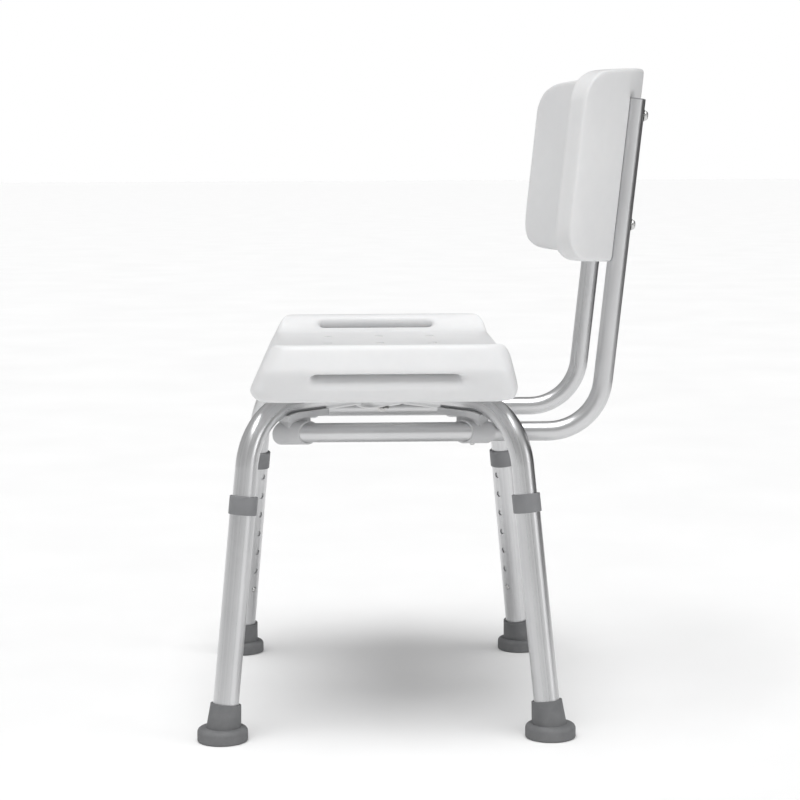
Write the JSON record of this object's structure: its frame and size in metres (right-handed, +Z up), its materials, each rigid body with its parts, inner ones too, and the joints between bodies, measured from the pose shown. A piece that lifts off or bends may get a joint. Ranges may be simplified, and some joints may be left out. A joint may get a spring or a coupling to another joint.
{
  "type": "shower chair",
  "caption": "Shower chair: moulded seat with hand slots on two crossed tube bows, height-adjustable splayed legs, and a curved backrest on a lift-out bent-tube frame.",
  "frame": {"origin": "on the floor, under the middle of the whole chair's box", "axes": "+Z up, -Y towards the front where the sitter's knees are, +X towards the sitter's left"},
  "size_m": [0.5, 0.5206, 0.7455],
  "materials": {
    "anodised_tube": "satin clear anodised, drawn along the tube",
    "moulded_plastic": "blow-moulded polyethylene, fine satin texture",
    "bracket_plastic": "satin moulded nylon",
    "collar_plastic": "satin moulded nylon",
    "foot_rubber": "matte moulded rubber",
    "bright_steel": "zinc plated",
    "spring_steel": "bright strip",
    "insert_brass": "turned and knurled"
  },
  "bodies": {
    "frame": {"leg_bow_upper": "anodised_tube", "leg_bow_lower": "anodised_tube", "cross_bolt": "bright_steel", "cross_washer": "bright_steel", "seat": "moulded_plastic", "seat_inserts": "insert_brass", "seat_bolts": "bright_steel", "bracket_front_left": "bracket_plastic", "bracket_front_right": "bracket_plastic", "bracket_rear_left": "bracket_plastic", "bracket_rear_right": "bracket_plastic", "leg_spring_front_left": "spring_steel", "leg_spring_front_right": "spring_steel", "leg_spring_rear_left": "spring_steel", "leg_spring_rear_right": "spring_steel"},
    "back_frame": {"back_tube_left": "anodised_tube", "back_tube_right": "anodised_tube", "back_tube_plug_left": "collar_plastic", "back_tube_plug_right": "collar_plastic", "backrest": "moulded_plastic", "backrest_inserts": "insert_brass", "back_bolts": "bright_steel", "back_washers": "bright_steel", "back_spring_left": "spring_steel", "back_spring_right": "spring_steel"},
    "leg_front_left": {"leg_extension_front_left": "anodised_tube", "leg_collar_front_left": "collar_plastic", "rubber_foot_front_left": "foot_rubber", "foot_washer_front_left": "bright_steel"},
    "button_front_left": {"leg_button_front_left": "bright_steel"},
    "leg_front_right": {"leg_extension_front_right": "anodised_tube", "leg_collar_front_right": "collar_plastic", "rubber_foot_front_right": "foot_rubber", "foot_washer_front_right": "bright_steel"},
    "button_front_right": {"leg_button_front_right": "bright_steel"},
    "leg_rear_left": {"leg_extension_rear_left": "anodised_tube", "leg_collar_rear_left": "collar_plastic", "rubber_foot_rear_left": "foot_rubber", "foot_washer_rear_left": "bright_steel"},
    "button_rear_left": {"leg_button_rear_left": "bright_steel"},
    "leg_rear_right": {"leg_extension_rear_right": "anodised_tube", "leg_collar_rear_right": "collar_plastic", "rubber_foot_rear_right": "foot_rubber", "foot_washer_rear_right": "bright_steel"},
    "button_rear_right": {"leg_button_rear_right": "bright_steel"},
    "button_back_left": {"back_button_left": "bright_steel"},
    "button_back_right": {"back_button_right": "bright_steel"}
  },
  "joints": [
    {"name": "leg_height_front_left", "type": "slide", "parent": "frame", "child": "leg_front_left", "axis": [0.1086, -0.0941, -0.9896], "range_m": [0, 0.1524]},
    {"name": "leg_button_front_left_press", "type": "slide", "parent": "frame", "child": "button_front_left", "axis": [0.7479, -0.6481, 0.1437], "range_m": [0, 0.004], "stiffness_N_per_m": 1500, "deforming": ["leg_spring_front_left"]},
    {"name": "leg_height_front_right", "type": "slide", "parent": "frame", "child": "leg_front_right", "axis": [-0.1086, -0.0941, -0.9896], "range_m": [0, 0.1524]},
    {"name": "leg_button_front_right_press", "type": "slide", "parent": "frame", "child": "button_front_right", "axis": [-0.7479, -0.6481, 0.1437], "range_m": [0, 0.004], "stiffness_N_per_m": 1500, "deforming": ["leg_spring_front_right"]},
    {"name": "leg_height_rear_left", "type": "slide", "parent": "frame", "child": "leg_rear_left", "axis": [0.1086, 0.0941, -0.9896], "range_m": [0, 0.1524]},
    {"name": "leg_button_rear_left_press", "type": "slide", "parent": "frame", "child": "button_rear_left", "axis": [0.7479, 0.6481, 0.1437], "range_m": [0, 0.004], "stiffness_N_per_m": 1500, "deforming": ["leg_spring_rear_left"]},
    {"name": "leg_height_rear_right", "type": "slide", "parent": "frame", "child": "leg_rear_right", "axis": [-0.1086, 0.0941, -0.9896], "range_m": [0, 0.1524]},
    {"name": "leg_button_rear_right_press", "type": "slide", "parent": "frame", "child": "button_rear_right", "axis": [-0.7479, 0.6481, 0.1437], "range_m": [0, 0.004], "stiffness_N_per_m": 1500, "deforming": ["leg_spring_rear_right"]},
    {"name": "back_slide", "type": "slide", "parent": "frame", "child": "back_frame", "axis": [0, 1, 0], "range_m": [0, 0.216]},
    {"name": "back_button_left_press", "type": "slide", "parent": "back_frame", "child": "button_back_left", "axis": [0, 0, 1], "range_m": [0, 0.0045], "stiffness_N_per_m": 1500, "deforming": ["back_spring_left"]},
    {"name": "back_button_right_press", "type": "slide", "parent": "back_frame", "child": "button_back_right", "axis": [0, 0, 1], "range_m": [0, 0.0045], "stiffness_N_per_m": 1500, "deforming": ["back_spring_right"]}
  ]
}
